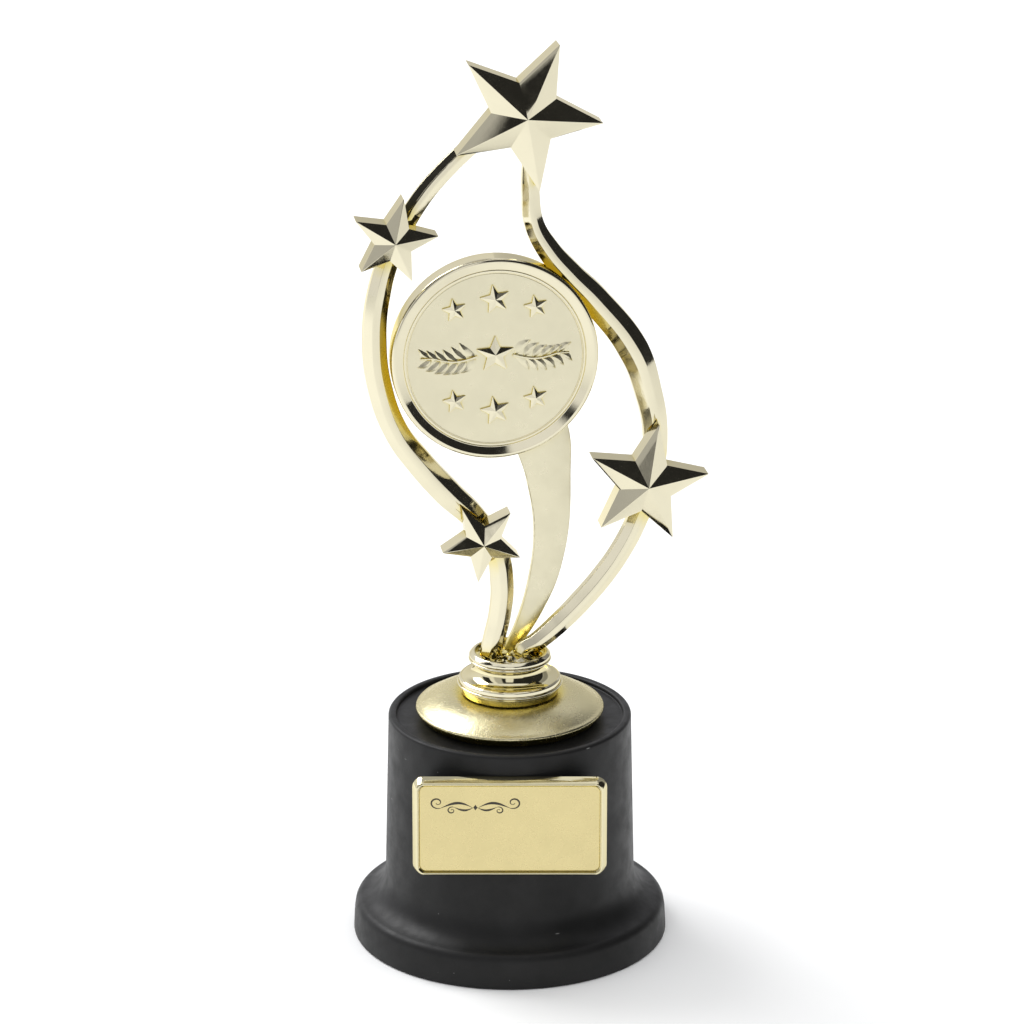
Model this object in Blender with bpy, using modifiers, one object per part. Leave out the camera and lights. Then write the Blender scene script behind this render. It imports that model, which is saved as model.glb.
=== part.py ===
"""Star trophy: a weighted round base with a name plate, carrying a metallised figure.

The figure is a collar from which two curved arms and a flat blade rise to hold a medal
and four faceted stars. One central screw clamps the figure to the base, with nothing to
key it, so the figure turns about the vertical axis.

Frame: +Z up, origin on the base's axis at the underside, the name plate faces -Y.
Dimensions are in millimetres and become metres where the meshes are made.
"""
import math

import bmesh
import bpy
from mathutils import Matrix, Vector

MM = 0.001
GAP = 0.3

# Base moulding
FOOT_RADIUS = 32.5
FOOT_SHOULDER_RADIUS = 32.1
FOOT_SHOULDER_Z = 5.4
FOOT_SHOULDER_ROUND = 2.0
FOOT_SLOPE_DEG = 15.0
DRUM_RADIUS_LOW = 25.75
DRUM_RADIUS_TOP = 24.95
BASE_HEIGHT = 48.0
RIM_WIDTH = 1.7
RIM_ROUND = 0.5
TOP_RECESS = 0.9
WALL = 2.4
BOSS_RADIUS = 7.0
BOSS_BOTTOM_Z = 41.0
SCREW_HOLE_RADIUS = 2.8

# Closing pad and ballast
PAD_RADIUS = 29.5
PAD_THICKNESS = 1.6
BALLAST_RADIUS = 22.2
BALLAST_BORE = 9.0
BALLAST_HEIGHT = 11.0

# Name plate, its frame and the flat seat behind them
PLATE_CENTRE_Z = 33.3
FRAME_WIDTH = 39.2
FRAME_HEIGHT = 21.3
FRAME_DRAFT = 0.75
FRAME_WALL = 1.2
FRAME_CORNER = 2.5
FRAME_DEPTH = 2.2
FRAME_FRONT = 27.5
PLATE_WIDTH = FRAME_WIDTH - 2 * (FRAME_DRAFT + FRAME_WALL + GAP)
PLATE_HEIGHT = FRAME_HEIGHT - 2 * (FRAME_DRAFT + FRAME_WALL + GAP)
PLATE_CORNER = 1.5
PLATE_THICKNESS = 0.5
PLATE_RECESS = 0.5
TAPE_THICKNESS = 0.4
SEAT_SLOPE_DEG = 25.0

# Figure
FIGURE_YAW_DEG = 9.0
DOME_RADIUS = 19.3
DOME_EDGE_Z = 49.3
DOME_HUB_RADIUS = 10.9
DOME_HUB_Z = 52.4
RING_LOW_RADIUS = 10.4
RING_LOW_Z = 55.9
RING_TOP_RADIUS = 8.3
WAIST_RADIUS = 7.1
CUP_RIM_Z = 61.4
CUP_FLOOR_Z = 60.0
CUP_BORE = 7.3
BEAD = 0.28

# Medal, centred on (across, up) in the figure's plane
MEDAL_CENTRE = (-3.5, 125.3)
MEDAL_RADIUS = 20.75
MEDAL_RIM = 2.0
MEDAL_FRONT = 4.7
MEDAL_BACK = -2.5
MEDAL_LEDGE_FRONT = 2.7
MEDAL_LEDGE_BACK = -1.2
MEDAL_LEDGE_WIDTH = 1.2
MEDAL_FACE_THICKNESS = 0.8
MEDAL_BACK_THICKNESS = 0.7
MEDAL_STAR_RELIEF = 0.55
MEDAL_STAR_TURN = 10.0

# Small relief stars: (across, up, radius) from the medal's centre
MEDAL_STARS = {
    "relief_high_left": (-8.2, 10.5, 2.5),
    "relief_high_middle": (0.0, 12.4, 3.1),
    "relief_high_right": (8.2, 10.5, 2.5),
    "relief_low_left": (-8.2, -8.6, 2.5),
    "relief_low_middle": (0.0, -10.9, 3.1),
    "relief_low_right": (8.2, -8.6, 2.5),
}

# Stars
STAR_DEPTH = 4.6
STAR_BACK = 1.6
STAR_LIP = 0.45
STAR_LIP_RISE = 0.3
STAR_WAIST = 0.44
PEG_RADIUS = 1.0
PEG_LENGTH = 2.0

# name: (across, up, radius, turn of one tip from the vertical in degrees, peak height)
STARS = {
    "star_top": (2.25, 175.6, 15.7, -25.6, 2.6),
    "star_left": (-23.9, 151.1, 8.95, -12.8, 1.7),
    "star_right": (27.1, 97.8, 12.9, -10.9, 2.2),
    "star_low": (-6.4, 87.1, 8.45, 29.4, 1.6),
}

# Arms: (across, up, half width) along each centreline, from the cup upwards
LEFT_ARM = (
    (-4.0, CUP_FLOOR_Z + 2 * GAP, 2.1),
    (-3.4, 63.5, 2.2),
    (-2.0, 69.8, 2.25),
    (-1.6, 76.5, 2.35),
    (-2.7, 82.9, 2.35),
    (-7.0, 90.2, 2.5),
    (-12.8, 96.3, 2.85),
    (-18.2, 102.7, 2.75),
    (-23.0, 109.7, 2.55),
    (-26.2, 118.9, 2.5),
    (-27.3, 129.0, 2.45),
    (-26.3, 139.0, 2.35),
    (-23.6, 147.5, 2.1),
    (-18.5, 157.0, 1.95),
    (-12.5, 164.1, 1.85),
    (-3.6, 171.9, 1.7),
)
RIGHT_ARM = (
    (2.6, CUP_FLOOR_Z + GAP, 1.8),
    (2.7, 61.0, 1.8),
    (5.6, 62.9, 1.9),
    (9.9, 66.5, 2.1),
    (14.8, 71.4, 2.2),
    (19.1, 76.4, 2.2),
    (22.6, 81.4, 2.15),
    (26.0, 88.0, 2.15),
    (28.9, 97.0, 2.3),
    (29.8, 106.9, 2.5),
    (28.2, 116.0, 2.8),
    (25.0, 125.0, 3.2),
    (17.0, 135.8, 2.95),
    (12.0, 141.2, 2.65),
    (7.6, 146.7, 2.35),
    (4.9, 152.0, 2.0),
    (4.2, 158.0, 1.8),
    (4.5, 170.0, 1.7),
)
ARM_RIDGE = 1.15
ARM_SHOULDER = (0.62, 0.85)
ARM_EDGE = 0.3
ARM_RESOLUTION = 4

# Blade: outline of the flat crescent behind the arms, (across, up)
BLADE_OUTLINE = (
    (-0.9, CUP_FLOOR_Z + GAP),
    (1.6, 65.6),
    (4.5, 76.0),
    (5.5, 86.3),
    (4.0, 96.8),
    (1.4, 107.0),
    (2.4, 113.0),
    (7.0, 115.2),
    (11.3, 111.0),
    (13.0, 97.0),
    (11.2, 78.2),
    (7.0, 67.9),
    (2.1, CUP_FLOOR_Z + GAP),
)
BLADE_THICKNESS = 1.6
BLADE_FRONT = -2.8

# Fixing hardware
SCREW_RADIUS = 2.5
SCREW_TOP_Z = 55.8
SCREW_HEAD_RADIUS = 4.6
SCREW_HEAD_HEIGHT = 3.0
SLOT_LENGTH = 4.8
SLOT_WIDTH = 1.0
SLOT_DEPTH = 1.6
WASHER_RADIUS = 6.2
WASHER_THICKNESS = 1.2
NUT_RADIUS = 4.6
NUT_HEIGHT = 3.2
NUT_BOTTOM_Z = 52.9

STEPS_LARGE = 56
STEPS_SMALL = 40


# ---------------------------------------------------------------- scene helpers

def clear_scene():
    """Remove every object of the open file."""
    for obj in list(bpy.data.objects):
        bpy.data.objects.remove(obj, do_unlink=True)


def new_collection(name):
    """Make a collection under the scene's own."""
    collection = bpy.data.collections.new(name)
    bpy.context.scene.collection.children.link(collection)
    return collection


def principled(name, colour, roughness, metallic):
    """Make a Principled material of one colour."""
    material = bpy.data.materials.new(name)
    material.use_nodes = True
    shader = material.node_tree.nodes["Principled BSDF"]
    shader.inputs["Base Color"].default_value = (*colour, 1.0)
    shader.inputs["Roughness"].default_value = roughness
    shader.inputs["Metallic"].default_value = metallic
    material.diffuse_color = (*colour, 1.0)
    return material


def place(obj, collection, parent=None, material=None):
    """Link an object, hang it on its parent and give it its material."""
    collection.objects.link(obj)
    obj.parent = parent
    if material is not None:
        obj.data.materials.append(material)
    return obj


def bmesh_object(name, bm):
    """Turn a bmesh into an object with its faces pointing out."""
    bmesh.ops.recalc_face_normals(bm, faces=bm.faces)
    mesh = bpy.data.meshes.new(name)
    bm.to_mesh(mesh)
    bm.free()
    return bpy.data.objects.new(name, mesh)


def stand_up(obj):
    """Turn a piece drawn flat, so its local Y points up and its local Z to the front."""
    obj.rotation_euler = (math.pi / 2, 0.0, 0.0)


# ---------------------------------------------------------------- shape helpers

def arc(centre, radius, start_deg, end_deg, count):
    """Points on an arc of a profile, both ends included."""
    points = []
    for i in range(count + 1):
        angle = math.radians(start_deg + (end_deg - start_deg) * i / count)
        across = centre[0] + radius * math.cos(angle)
        up = centre[1] + radius * math.sin(angle)
        points.append((across, up))
    return points


def turned(name, profile, steps, closed):
    """Turn a (radius, height) profile about Z; a closed one makes a ring."""
    mesh = bpy.data.meshes.new(name)
    points = [(r * MM, 0.0, z * MM) for r, z in profile]
    edges = [(i, i + 1) for i in range(len(points) - 1)]
    if closed:
        edges.append((len(points) - 1, 0))
    mesh.from_pydata(points, edges, [])
    obj = bpy.data.objects.new(name, mesh)
    screw = obj.modifiers.new("turn", "SCREW")
    screw.axis = "Z"
    screw.steps = steps
    screw.render_steps = steps
    screw.use_merge_vertices = True
    screw.merge_threshold = 0.00001
    screw.use_smooth_shade = True
    return obj


def tube_profile(inner, outer, low, high):
    """Profile of a plain ring, running down its outer side."""
    return [(inner, high), (outer, high), (outer, low), (inner, low)]


def cylinder(name, radius, low, high, sides):
    """A cylinder along Z between two heights."""
    bm = bmesh.new()
    middle = Matrix.Translation((0.0, 0.0, (low + high) / 2 * MM))
    bmesh.ops.create_cone(bm, cap_ends=True, segments=sides, radius1=radius * MM,
                          radius2=radius * MM, depth=(high - low) * MM, matrix=middle)
    return bmesh_object(name, bm)


def slab(name, width, depth, height, corner):
    """A box standing on Z = 0, with its upright corners rounded."""
    bm = bmesh.new()
    size = Matrix.Diagonal((width * MM, depth * MM, height * MM, 1.0))
    lift = Matrix.Translation((0.0, 0.0, height / 2 * MM))
    bmesh.ops.create_cube(bm, size=1.0, matrix=lift @ size)
    upright = [e for e in bm.edges if abs(e.verts[0].co.z - e.verts[1].co.z) > height / 2 * MM]
    bmesh.ops.bevel(bm, geom=upright, offset=corner * MM, segments=5, profile=0.5,
                    affect="EDGES")
    return bmesh_object(name, bm)


def star_prism(name, radius, turn_deg, low, high, lip, lip_rise, peak):
    """A five-pointed star drawn flat, from one height to another, with ten facets."""
    bm = bmesh.new()
    bmesh.ops.create_circle(bm, cap_ends=True, segments=10, radius=1.0)
    for i, vert in enumerate(bm.verts):
        reach = radius if i % 2 == 0 else radius * STAR_WAIST
        angle = math.radians(90.0 + turn_deg + 36.0 * i)
        vert.co = Vector((reach * math.cos(angle), reach * math.sin(angle), low)) * MM
    grown = bmesh.ops.extrude_face_region(bm, geom=list(bm.faces))
    front = [g for g in grown["geom"] if isinstance(g, bmesh.types.BMFace)]
    raised = [g for g in grown["geom"] if isinstance(g, bmesh.types.BMVert)]
    rise = high - low - lip_rise
    bmesh.ops.translate(bm, vec=(0.0, 0.0, rise * MM), verts=raised)
    bmesh.ops.recalc_face_normals(bm, faces=bm.faces)
    if lip > 0.0:
        bmesh.ops.inset_region(bm, faces=front, thickness=lip * MM, depth=lip_rise * MM,
                               use_even_offset=True)
    if peak > 0.0:
        bmesh.ops.poke(bm, faces=front, offset=peak * MM)
    return bmesh_object(name, bm)


def curve_to_mesh(obj):
    """Replace a curve object by a welded mesh object of the same place and name."""
    bpy.context.view_layer.update()
    evaluated = obj.evaluated_get(bpy.context.evaluated_depsgraph_get())
    mesh = bpy.data.meshes.new_from_object(evaluated)
    matrix = obj.matrix_world.copy()
    name = obj.name
    bpy.data.objects.remove(obj, do_unlink=True)
    bm = bmesh.new()
    bm.from_mesh(mesh)
    bmesh.ops.remove_doubles(bm, verts=bm.verts, dist=0.00001)
    bmesh.ops.recalc_face_normals(bm, faces=bm.faces)
    bm.to_mesh(mesh)
    bm.free()
    mesh.name = name
    solid = bpy.data.objects.new(name, mesh)
    solid.matrix_world = matrix
    return solid


class Bench:
    """The two collections, and the Boolean steps that need them."""

    def __init__(self):
        self.pieces = new_collection("star_trophy")
        self.cutters = new_collection("cutters")

    def tool(self, obj, parent=None):
        """Put a cutter away, out of the render and drawn as wire."""
        place(obj, self.cutters, parent)
        obj.hide_render = True
        obj.display_type = "WIRE"
        return obj

    def combine(self, obj, tool, operation):
        """Add one exact Boolean step to a piece."""
        step = obj.modifiers.new(tool.name, "BOOLEAN")
        step.operation = operation
        step.solver = "EXACT"
        step.object = tool


# ---------------------------------------------------------------- base

def base_outline():
    """Outer profile of the base moulding from the middle of its top to its underside."""
    slope = math.radians(FOOT_SLOPE_DEG)
    shoulder = (FOOT_SHOULDER_RADIUS - FOOT_SHOULDER_ROUND, FOOT_SHOULDER_Z)
    meet = (shoulder[0] + FOOT_SHOULDER_ROUND * math.sin(slope),
            shoulder[1] + FOOT_SHOULDER_ROUND * math.cos(slope))
    cove = (meet[0] - DRUM_RADIUS_LOW) / (1.0 - math.sin(slope))
    cove_centre = (DRUM_RADIUS_LOW + cove, meet[1] + cove * math.cos(slope))
    floor = BASE_HEIGHT - TOP_RECESS
    inner = DRUM_RADIUS_TOP - RIM_WIDTH
    profile = [(0.0, floor), (inner, floor)]
    profile += arc((inner + RIM_ROUND, BASE_HEIGHT - RIM_ROUND), RIM_ROUND, 180, 90, 2)
    profile += arc((DRUM_RADIUS_TOP - RIM_ROUND, BASE_HEIGHT - RIM_ROUND), RIM_ROUND, 90, 0, 3)
    profile += arc(cove_centre, cove, 180, 270 - FOOT_SLOPE_DEG, 7)
    profile += arc(shoulder, FOOT_SHOULDER_ROUND, 90 - FOOT_SLOPE_DEG, 0, 4)
    profile += [(FOOT_RADIUS, 0.5), (FOOT_RADIUS - 0.3, 0.0), (0.0, 0.0)]
    return profile


def base_hollow():
    """Profile of the space inside the base, open at the underside."""
    ledge = PAD_RADIUS + GAP
    top = BASE_HEIGHT - TOP_RECESS - WALL
    return [
        (SCREW_HOLE_RADIUS, BASE_HEIGHT + 1.0),
        (SCREW_HOLE_RADIUS, BOSS_BOTTOM_Z),
        (BOSS_RADIUS, BOSS_BOTTOM_Z),
        (BOSS_RADIUS, top),
        (DRUM_RADIUS_TOP - WALL, top),
        (DRUM_RADIUS_LOW - WALL, 12.0),
        (FOOT_RADIUS - 2 * WALL, 4.5),
        (FOOT_RADIUS - 2 * WALL, PAD_THICKNESS + GAP),
        (ledge, PAD_THICKNESS + GAP),
        (ledge, -1.0),
    ]


def make_base_shell(bench, plastic):
    """Hollow moulding: flared foot, drum, recessed top, screw boss and plate seat."""
    shell = turned("base_shell", base_outline(), STEPS_LARGE, closed=False)
    place(shell, bench.pieces, None, plastic)
    back = FRAME_FRONT - FRAME_DEPTH - GAP
    front = FRAME_FRONT - PLATE_RECESS - PLATE_THICKNESS - TAPE_THICKNESS - 2 * GAP
    root = DRUM_RADIUS_TOP / 2
    block = slab("seat_block", FRAME_WIDTH - 1.0, FRAME_HEIGHT - 1.0, back - root, FRAME_CORNER)
    pad = slab("seat_pad", PLATE_WIDTH, PLATE_HEIGHT, front - root, PLATE_CORNER)
    slope = bench.tool(slab("seat_slope", 2 * FRAME_WIDTH, 2 * FRAME_HEIGHT, DRUM_RADIUS_TOP, 1.0))
    slope.location = (0.0, -back * MM, (PLATE_CENTRE_Z + FRAME_HEIGHT / 2 - 0.5) * MM)
    slope.rotation_euler = (-math.radians(SEAT_SLOPE_DEG), 0.0, 0.0)
    for step in (block, pad):
        bench.combine(step, slope, "DIFFERENCE")
        step.location = (0.0, -root * MM, PLATE_CENTRE_Z * MM)
        stand_up(step)
        bench.combine(shell, bench.tool(step), "UNION")
    profile = base_hollow()
    profile = [(0.0, profile[0][1])] + profile + [(0.0, profile[-1][1])]
    hollow = bench.tool(turned("base_hollow", profile, STEPS_LARGE, closed=False))
    bench.combine(shell, hollow, "DIFFERENCE")


def make_base_weight(bench, steel):
    """Ballast ring lying in the foot, above the pad."""
    low = PAD_THICKNESS + 2 * GAP
    profile = tube_profile(BALLAST_BORE, BALLAST_RADIUS, low, low + BALLAST_HEIGHT)
    place(turned("base_weight", profile, STEPS_SMALL, closed=True), bench.pieces, None, steel)


def make_bottom_pad(bench, foam):
    """Foam disc that closes the underside and stands on the table."""
    pad = cylinder("bottom_pad", PAD_RADIUS, 0.0, PAD_THICKNESS, STEPS_LARGE)
    place(pad, bench.pieces, None, foam)


def make_plate_frame(bench, gold):
    """Bezel with sloping sides round the name plate, cut at the back to clear the drum."""
    frame = slab("plate_frame", FRAME_WIDTH, FRAME_HEIGHT, FRAME_DEPTH, FRAME_CORNER)
    middle = FRAME_DEPTH / 2 * MM
    for vert in frame.data.vertices:
        if vert.co.z > middle:
            vert.co.x *= 1.0 - 2 * FRAME_DRAFT / FRAME_WIDTH
            vert.co.y *= 1.0 - 2 * FRAME_DRAFT / FRAME_HEIGHT
    frame.location = (0.0, (FRAME_DEPTH - FRAME_FRONT) * MM, PLATE_CENTRE_Z * MM)
    stand_up(frame)
    place(frame, bench.pieces, None, gold)
    window = slab("frame_window", PLATE_WIDTH + 2 * GAP, PLATE_HEIGHT + 2 * GAP,
                  FRAME_DEPTH + 2.0, PLATE_CORNER + GAP)
    window.location = (0.0, (FRAME_DEPTH + 1.0 - FRAME_FRONT) * MM, PLATE_CENTRE_Z * MM)
    stand_up(window)
    bench.combine(frame, bench.tool(window), "DIFFERENCE")
    clearance = [(0.0, BASE_HEIGHT), (DRUM_RADIUS_TOP + GAP, BASE_HEIGHT),
                 (DRUM_RADIUS_LOW + GAP, 10.0), (0.0, 10.0)]
    drum = bench.tool(turned("drum_clearance", clearance, 64, closed=False))
    bench.combine(frame, drum, "DIFFERENCE")


def make_plate(bench, name, front, thickness, material):
    """A thin rounded sheet inside the frame, with its front at a stated depth."""
    plate = slab(name, PLATE_WIDTH, PLATE_HEIGHT, thickness, PLATE_CORNER)
    plate.location = (0.0, (thickness - front) * MM, PLATE_CENTRE_Z * MM)
    stand_up(plate)
    place(plate, bench.pieces, None, material)


# ---------------------------------------------------------------- figure: foot and fixing

def make_dome_foot(bench, axis, satin):
    """Low domed disc under the collar, with a rolled edge."""
    underside = BASE_HEIGHT - TOP_RECESS + GAP
    edge = DOME_RADIUS - 0.5
    profile = [(SCREW_HOLE_RADIUS, DOME_HUB_Z), (DOME_HUB_RADIUS, DOME_HUB_Z)]
    for i in range(1, 6):
        share = i / 5
        radius = DOME_HUB_RADIUS + (edge - DOME_HUB_RADIUS) * share
        profile.append((radius, DOME_HUB_Z - (DOME_HUB_Z - DOME_EDGE_Z - 0.4) * share ** 2))
    profile += arc((edge, DOME_EDGE_Z - 0.1), 0.5, 60, -60, 4)
    profile += [(DOME_RADIUS - 1.4, underside), (SCREW_HOLE_RADIUS, underside)]
    place(turned("dome_foot", profile, STEPS_LARGE, closed=True), bench.pieces, axis, satin)


def collar_profile():
    """Two ringed flanges with a waist between them and a cup on top."""
    profile = [(0.0, CUP_FLOOR_Z), (CUP_BORE, CUP_FLOOR_Z), (CUP_BORE + 0.2, CUP_RIM_Z - 0.4)]
    profile += arc((CUP_BORE + 0.6, CUP_RIM_Z - 0.4), 0.4, 180, 20, 4)
    profile += [(RING_TOP_RADIUS, CUP_RIM_Z - 0.7), (RING_TOP_RADIUS - 0.05, CUP_RIM_Z - 1.2)]
    profile += arc((RING_TOP_RADIUS - 0.1, CUP_RIM_Z - 1.55), BEAD, 70, -70, 3)
    cove_top = (RING_TOP_RADIUS - 0.5, CUP_RIM_Z - 1.95)
    cove_low = (RING_LOW_RADIUS - 0.4, RING_LOW_Z)
    for i in range(5):
        angle = math.radians(90.0 * i / 4)
        radius = WAIST_RADIUS + (cove_top[0] - WAIST_RADIUS) * (1.0 - math.sin(angle))
        profile.append((radius, cove_top[1] - 1.0 * (1.0 - math.cos(angle))))
    for i in range(1, 6):
        angle = math.radians(90.0 * i / 5)
        radius = WAIST_RADIUS + (cove_low[0] - WAIST_RADIUS) * (1.0 - math.cos(angle))
        drop = cove_top[1] - 1.0 - cove_low[1]
        profile.append((radius, cove_top[1] - 1.0 - drop * math.sin(angle)))
    profile += [(RING_LOW_RADIUS, RING_LOW_Z - 0.2), (RING_LOW_RADIUS + 0.05, RING_LOW_Z - 0.9)]
    profile += arc((RING_LOW_RADIUS + 0.15, RING_LOW_Z - 1.2), BEAD, 70, -70, 3)
    foot = DOME_HUB_Z + GAP
    profile += [(RING_LOW_RADIUS - 0.1, foot + 1.2), (RING_LOW_RADIUS - 0.55, foot), (0.0, foot)]
    return profile


def make_collar(bench, axis, gold):
    """Turned collar with a hexagonal pocket for the nut in its underside."""
    collar = turned("collar", collar_profile(), STEPS_SMALL, closed=False)
    place(collar, bench.pieces, axis, gold)
    pocket_top = NUT_BOTTOM_Z + NUT_HEIGHT + GAP
    pocket_radius = NUT_RADIUS + GAP / math.cos(math.pi / 6)
    pocket = cylinder("nut_pocket", pocket_radius, DOME_HUB_Z, pocket_top, 6)
    bench.combine(collar, bench.tool(pocket, axis), "DIFFERENCE")


def make_hex_nut(bench, axis, steel):
    """Nut held in the collar, on the end of the screw."""
    nut = cylinder("hex_nut", NUT_RADIUS, NUT_BOTTOM_Z, NUT_BOTTOM_Z + NUT_HEIGHT, 6)
    place(nut, bench.pieces, axis, steel)
    bore = cylinder("nut_bore", SCREW_HOLE_RADIUS, NUT_BOTTOM_Z - 1.0,
                    NUT_BOTTOM_Z + NUT_HEIGHT + 1.0, 24)
    bench.combine(nut, bench.tool(bore, axis), "DIFFERENCE")


def make_fixing_screw(bench, axis, steel):
    """Central screw with a domed head and a cross slot, reached from below."""
    head_top = BOSS_BOTTOM_Z - WASHER_THICKNESS - 2 * GAP
    head_low = head_top - SCREW_HEAD_HEIGHT
    profile = [(0.0, SCREW_TOP_Z), (SCREW_RADIUS - 0.5, SCREW_TOP_Z)]
    profile += [(SCREW_RADIUS, SCREW_TOP_Z - 0.8), (SCREW_RADIUS, head_top)]
    profile += [(SCREW_HEAD_RADIUS, head_top), (SCREW_HEAD_RADIUS, head_low + 1.4)]
    profile += [(SCREW_HEAD_RADIUS - 0.8, head_low + 0.4), (SCREW_HEAD_RADIUS - 2.2, head_low)]
    profile += [(0.0, head_low)]
    screw = turned("fixing_screw", profile, 24, closed=False)
    place(screw, bench.pieces, axis, steel)
    slots = (("slot_a", SLOT_LENGTH, SLOT_WIDTH), ("slot_b", SLOT_WIDTH, SLOT_LENGTH))
    for name, width, depth in slots:
        slot = slab(name, width, depth, SLOT_DEPTH + 1.0, 0.2)
        slot.location = (0.0, 0.0, (head_low - 1.0) * MM)
        bench.combine(screw, bench.tool(slot, axis), "DIFFERENCE")


def make_washer(bench, axis, steel):
    """Flat washer between the screw's head and the base's boss."""
    high = BOSS_BOTTOM_Z - GAP
    profile = tube_profile(SCREW_HOLE_RADIUS, WASHER_RADIUS, high - WASHER_THICKNESS, high)
    place(turned("washer", profile, 32, closed=True), bench.pieces, axis, steel)


# ---------------------------------------------------------------- figure: arms and blade

def arm_section():
    """Closed curve of an arm's unit section: a ridge front and back, and narrow sides."""
    half = [(0.0, ARM_RIDGE), ARM_SHOULDER, (1.0, ARM_EDGE), (1.0, -ARM_EDGE),
            (ARM_SHOULDER[0], -ARM_SHOULDER[1]), (0.0, -ARM_RIDGE)]
    points = half + [(-x, y) for x, y in reversed(half[1:-1])]
    data = bpy.data.curves.new("arm_section", "CURVE")
    data.dimensions = "2D"
    spline = data.splines.new("POLY")
    spline.points.add(len(points) - 1)
    for point, (x, y) in zip(spline.points, points):
        point.co = (x * MM, y * MM, 0.0, 1.0)
    spline.use_cyclic_u = True
    return bpy.data.objects.new("arm_section", data)


def smooth_spline(data, stations, cyclic):
    """Add a Bezier spline with smooth handles; a third value sets the section's scale."""
    spline = data.splines.new("BEZIER")
    spline.bezier_points.add(len(stations) - 1)
    for point, station in zip(spline.bezier_points, stations):
        point.co = (station[0] * MM, station[1] * MM, 0.0)
        point.handle_left_type = "AUTO"
        point.handle_right_type = "AUTO"
        if len(station) > 2:
            point.radius = station[2]
    spline.use_cyclic_u = cyclic
    return spline


def nearest_on(stations, across, up):
    """Point of an arm's centreline that lies nearest to a star's middle."""
    target = Vector((across, up))
    best = None
    for a, b in zip(stations, stations[1:]):
        start = Vector(a[:2])
        run = Vector(b[:2]) - start
        share = max(0.0, min(1.0, (target - start).dot(run) / run.length_squared))
        point = start + run * share
        if best is None or (point - target).length < (best - target).length:
            best = point
    return best


def make_arm(bench, axis, gold, name, stations, pegs, medal_space, star_spaces):
    """Tapered ridged arm, with a seat and a peg hole behind each star it carries."""
    section = arm_section()
    bench.cutters.objects.link(section)
    data = bpy.data.curves.new(name, "CURVE")
    data.dimensions = "3D"
    data.twist_mode = "Z_UP"
    data.resolution_u = ARM_RESOLUTION
    data.bevel_mode = "OBJECT"
    data.bevel_object = section
    data.use_fill_caps = True
    smooth_spline(data, stations, False)
    curve = bpy.data.objects.new(name, data)
    bench.cutters.objects.link(curve)
    arm = curve_to_mesh(curve)
    bpy.data.objects.remove(section, do_unlink=True)
    stand_up(arm)
    place(arm, bench.pieces, axis, gold)
    bench.combine(arm, medal_space, "DIFFERENCE")
    for star in pegs:
        bench.combine(arm, star_spaces[star], "DIFFERENCE")
        spot = nearest_on(stations, *STARS[star][:2])
        hole = cylinder(f"{name}_{star}_hole", PEG_RADIUS + GAP,
                        STAR_BACK - PEG_LENGTH - GAP, STAR_BACK + 1.0, 16)
        stand_up(hole)
        hole.location = (spot.x * MM, 0.0, spot.y * MM)
        bench.combine(arm, bench.tool(hole, axis), "DIFFERENCE")


def make_blade(bench, axis, satin):
    """Flat crescent that rises behind the arms to the back of the medal."""
    data = bpy.data.curves.new("blade", "CURVE")
    data.dimensions = "2D"
    data.fill_mode = "BOTH"
    data.extrude = BLADE_THICKNESS / 2 * MM
    data.resolution_u = 5
    smooth_spline(data, BLADE_OUTLINE, True)
    for point in (data.splines[0].bezier_points[0], data.splines[0].bezier_points[-1]):
        point.handle_left_type = "VECTOR"
        point.handle_right_type = "VECTOR"
    curve = bpy.data.objects.new("blade", data)
    bench.cutters.objects.link(curve)
    blade = curve_to_mesh(curve)
    stand_up(blade)
    blade.location = (0.0, (BLADE_THICKNESS / 2 - BLADE_FRONT) * MM, 0.0)
    place(blade, bench.pieces, axis, satin)


# ---------------------------------------------------------------- figure: medal

def at_medal(obj):
    """Stand a turned medal piece up, centred on the medal."""
    stand_up(obj)
    obj.location = (MEDAL_CENTRE[0] * MM, 0.0, MEDAL_CENTRE[1] * MM)


def make_medal_ring(bench, axis, gold):
    """Ring with a rolled rim front and back, and a ledge that holds the two discs."""
    roll = MEDAL_RIM / 2
    middle = MEDAL_RADIUS - roll
    inner = MEDAL_RADIUS - MEDAL_RIM
    profile = arc((middle, MEDAL_FRONT - roll), roll, 180, 0, 6)
    profile += arc((middle, MEDAL_BACK + roll), roll, 0, -180, 6)
    bore = inner - MEDAL_LEDGE_WIDTH
    profile += [(inner, MEDAL_LEDGE_BACK), (bore, MEDAL_LEDGE_BACK)]
    profile += [(bore, MEDAL_LEDGE_FRONT), (inner, MEDAL_LEDGE_FRONT)]
    ring = turned("medal_ring", profile, STEPS_LARGE, closed=True)
    at_medal(ring)
    place(ring, bench.pieces, axis, gold)


def make_medal_face(bench, axis, satin):
    """Front disc of the medal, with six small stars in relief."""
    radius = MEDAL_RADIUS - MEDAL_RIM - GAP
    low = MEDAL_LEDGE_FRONT + GAP
    high = low + MEDAL_FACE_THICKNESS
    profile = [(0.0, high), (radius - 0.4, high), (radius, high - 0.3), (radius, low), (0.0, low)]
    face = turned("medal_face", profile, STEPS_SMALL, closed=False)
    at_medal(face)
    place(face, bench.pieces, axis, satin)
    for name, (across, up, size) in MEDAL_STARS.items():
        star = star_prism(name, size, MEDAL_STAR_TURN, high - 0.3, high + 0.1, 0.0, 0.0,
                          MEDAL_STAR_RELIEF)
        stand_up(star)
        star.location = ((MEDAL_CENTRE[0] + across) * MM, 0.0, (MEDAL_CENTRE[1] + up) * MM)
        bench.combine(face, bench.tool(star, axis), "UNION")


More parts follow.
